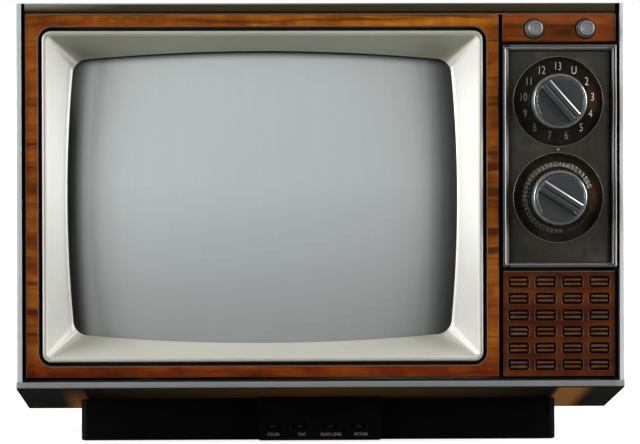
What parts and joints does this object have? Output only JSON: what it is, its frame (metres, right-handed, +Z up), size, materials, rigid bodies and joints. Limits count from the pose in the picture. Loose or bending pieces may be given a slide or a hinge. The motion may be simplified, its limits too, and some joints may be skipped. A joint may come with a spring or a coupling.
{
  "type": "table-top television",
  "caption": "Table-top tube television with tuner dials, barred speaker grille, pedestal base and a telescopic rabbit ears antenna folded behind its top edge.",
  "frame": {"origin": "on the floor plane, under the middle of the object's box", "axes": "+Z up, the screen faces -Y, +X to the right seen from the front"},
  "size_m": [0.609, 0.474, 0.444],
  "materials": {
    "walnut_cabinet": "dark walnut-grain vinyl on board, satin",
    "walnut_front": "figured walnut grain running across, satin",
    "silver_trim": "satin drawn strip",
    "dark_trim": "dark bronze, lightly brushed",
    "black_plastic": "moulded, semi-gloss",
    "brown_plastic": "moulded, fine texture",
    "mask_silver": "warm silver paint, satin",
    "screen_glass": "polished, grey phosphor behind it, opaque",
    "bulb_glass": "graphite-coated, opaque",
    "chrome": "polished, lightly worn",
    "panel_grey": "dark grey, satin",
    "dial_black": "dark brown-black with pale numerals",
    "steel": "plated sheet",
    "copper": null,
    "circuit_board": "brown phenolic board",
    "iron": "varnished laminations and magnet",
    "paper": "black paper cone",
    "rubber": "black, matt",
    "twin_lead": "flat brown antenna lead",
    "bakelite": "brown moulded board"
  },
  "bodies": {
    "cabinet": {"cabinet_shell": "walnut_cabinet", "front_rim": "silver_trim", "top_trim": "dark_trim", "front_bezel": "walnut_front", "control_fascia": "walnut_front", "front_carrier": "black_plastic", "picture_mask": "mask_silver", "crt_faceplate": "screen_glass", "crt_funnel": "bulb_glass", "crt_band": "steel", "deflection_yoke": "copper", "crt_neck_board": "circuit_board", "tuner_trim": "chrome", "tuner_panel": "panel_grey", "vhf_dial": "dial_black", "speaker_grille": "walnut_front", "speaker_basket": "iron", "speaker_cone": "paper", "vhf_tuner": "steel", "uhf_tuner": "steel", "chassis_tray": "steel", "main_board": "circuit_board", "power_transformer": "iron", "flyback_transformer": "iron", "pedestal_base": "black_plastic", "foot_front_left": "rubber", "foot_front_right": "rubber", "foot_rear_left": "rubber", "foot_rear_right": "rubber", "control_pod": "black_plastic", "control_board": "circuit_board", "back_cover": "brown_plastic", "antenna_terminals": "bakelite", "twin_lead": "twin_lead", "mains_cord": "rubber", "mains_plug": "rubber", "antenna_base": "black_plastic"},
    "vhf_channel": {"vhf_knob": "chrome"},
    "vhf_fine": {"vhf_fine_ring": "chrome"},
    "uhf_tuning": {"uhf_knob": "chrome", "uhf_dial": "dial_black"},
    "pull_switch": {"pull_switch_rod": "steel"},
    "volume": {"volume_knob": "chrome"},
    "tone": {"tone_knob": "chrome"},
    "vertical_hold": {"vertical_hold_knob": "black_plastic"},
    "color": {"color_wheel": "black_plastic"},
    "tint": {"tint_wheel": "black_plastic"},
    "brightness": {"brightness_wheel": "black_plastic"},
    "contrast": {"contrast_wheel": "black_plastic"},
    "left_ear_swivel": {"left_swivel": "black_plastic"},
    "left_ear_1": {"left_rod_1": "chrome"},
    "left_ear_2": {"left_rod_2": "chrome"},
    "left_ear_3": {"left_rod_3": "chrome"},
    "left_ear_4": {"left_rod_4": "chrome"},
    "right_ear_swivel": {"right_swivel": "black_plastic"},
    "right_ear_1": {"right_rod_1": "chrome"},
    "right_ear_2": {"right_rod_2": "chrome"},
    "right_ear_3": {"right_rod_3": "chrome"},
    "right_ear_4": {"right_rod_4": "chrome"}
  },
  "joints": [
    {"name": "vhf_channel_turn", "type": "hinge", "parent": "cabinet", "child": "vhf_channel", "pos_m": [0.238, -0.21, 0.3452], "axis": [0, -1, 0], "continuous": true},
    {"name": "vhf_fine_turn", "type": "hinge", "parent": "cabinet", "child": "vhf_fine", "pos_m": [0.238, -0.21, 0.3452], "axis": [0, -1, 0], "continuous": true},
    {"name": "uhf_tuning_turn", "type": "hinge", "parent": "cabinet", "child": "uhf_tuning", "pos_m": [0.238, -0.21, 0.249], "axis": [0, -1, 0], "range_deg": [-185, 70]},
    {"name": "power_pull", "type": "slide", "parent": "cabinet", "child": "pull_switch", "axis": [0, -1, 0], "range_m": [0, 0.005]},
    {"name": "volume_turn", "type": "hinge", "parent": "pull_switch", "child": "volume", "pos_m": [0.2137, -0.21, 0.4178], "axis": [0, -1, 0], "range_deg": [-290, 0]},
    {"name": "tone_turn", "type": "hinge", "parent": "cabinet", "child": "tone", "pos_m": [0.2652, -0.21, 0.4178], "axis": [0, -1, 0], "range_deg": [-145, 145]},
    {"name": "vertical_hold_turn", "type": "hinge", "parent": "cabinet", "child": "vertical_hold", "pos_m": [0.19, 0.185, 0.118], "axis": [0, 1, 0], "range_deg": [-135, 135]},
    {"name": "color_turn", "type": "hinge", "parent": "cabinet", "child": "color", "pos_m": [-0.0475, -0.126, 0.0152], "axis": [0, 0, 1], "range_deg": [-135, 135]},
    {"name": "tint_turn", "type": "hinge", "parent": "cabinet", "child": "tint", "pos_m": [-0.02, -0.126, 0.0152], "axis": [0, 0, 1], "range_deg": [-135, 135]},
    {"name": "brightness_turn", "type": "hinge", "parent": "cabinet", "child": "brightness", "pos_m": [0.0105, -0.126, 0.0152], "axis": [0, 0, 1], "range_deg": [-135, 135]},
    {"name": "contrast_turn", "type": "hinge", "parent": "cabinet", "child": "contrast", "pos_m": [0.04, -0.126, 0.0152], "axis": [0, 0, 1], "range_deg": [-135, 135]},
    {"name": "left_ear_swivel_turn", "type": "hinge", "parent": "cabinet", "child": "left_ear_swivel", "pos_m": [-0.026, 0.117, 0.433], "axis": [0, 0, 1], "range_deg": [-90, 0]},
    {"name": "left_ear_tilt", "type": "hinge", "parent": "left_ear_swivel", "child": "left_ear_1", "pos_m": [-0.026, 0.117, 0.433], "axis": [0, 1, 0], "range_deg": [0, 90]},
    {"name": "left_ear_extend_2", "type": "slide", "parent": "left_ear_1", "child": "left_ear_2", "axis": [-1, 0, 0], "range_m": [0, 0.205]},
    {"name": "left_ear_extend_3", "type": "slide", "parent": "left_ear_2", "child": "left_ear_3", "axis": [-1, 0, 0], "range_m": [0, 0.205]},
    {"name": "left_ear_extend_4", "type": "slide", "parent": "left_ear_3", "child": "left_ear_4", "axis": [-1, 0, 0], "range_m": [0, 0.205]},
    {"name": "right_ear_swivel_turn", "type": "hinge", "parent": "cabinet", "child": "right_ear_swivel", "pos_m": [0.026, 0.117, 0.433], "axis": [0, 0, 1], "range_deg": [0, 90]},
    {"name": "right_ear_tilt", "type": "hinge", "parent": "right_ear_swivel", "child": "right_ear_1", "pos_m": [0.026, 0.117, 0.433], "axis": [0, -1, 0], "range_deg": [0, 90]},
    {"name": "right_ear_extend_2", "type": "slide", "parent": "right_ear_1", "child": "right_ear_2", "axis": [1, 0, 0], "range_m": [0, 0.205]},
    {"name": "right_ear_extend_3", "type": "slide", "parent": "right_ear_2", "child": "right_ear_3", "axis": [1, 0, 0], "range_m": [0, 0.205]},
    {"name": "right_ear_extend_4", "type": "slide", "parent": "right_ear_3", "child": "right_ear_4", "axis": [1, 0, 0], "range_m": [0, 0.205]}
  ]
}
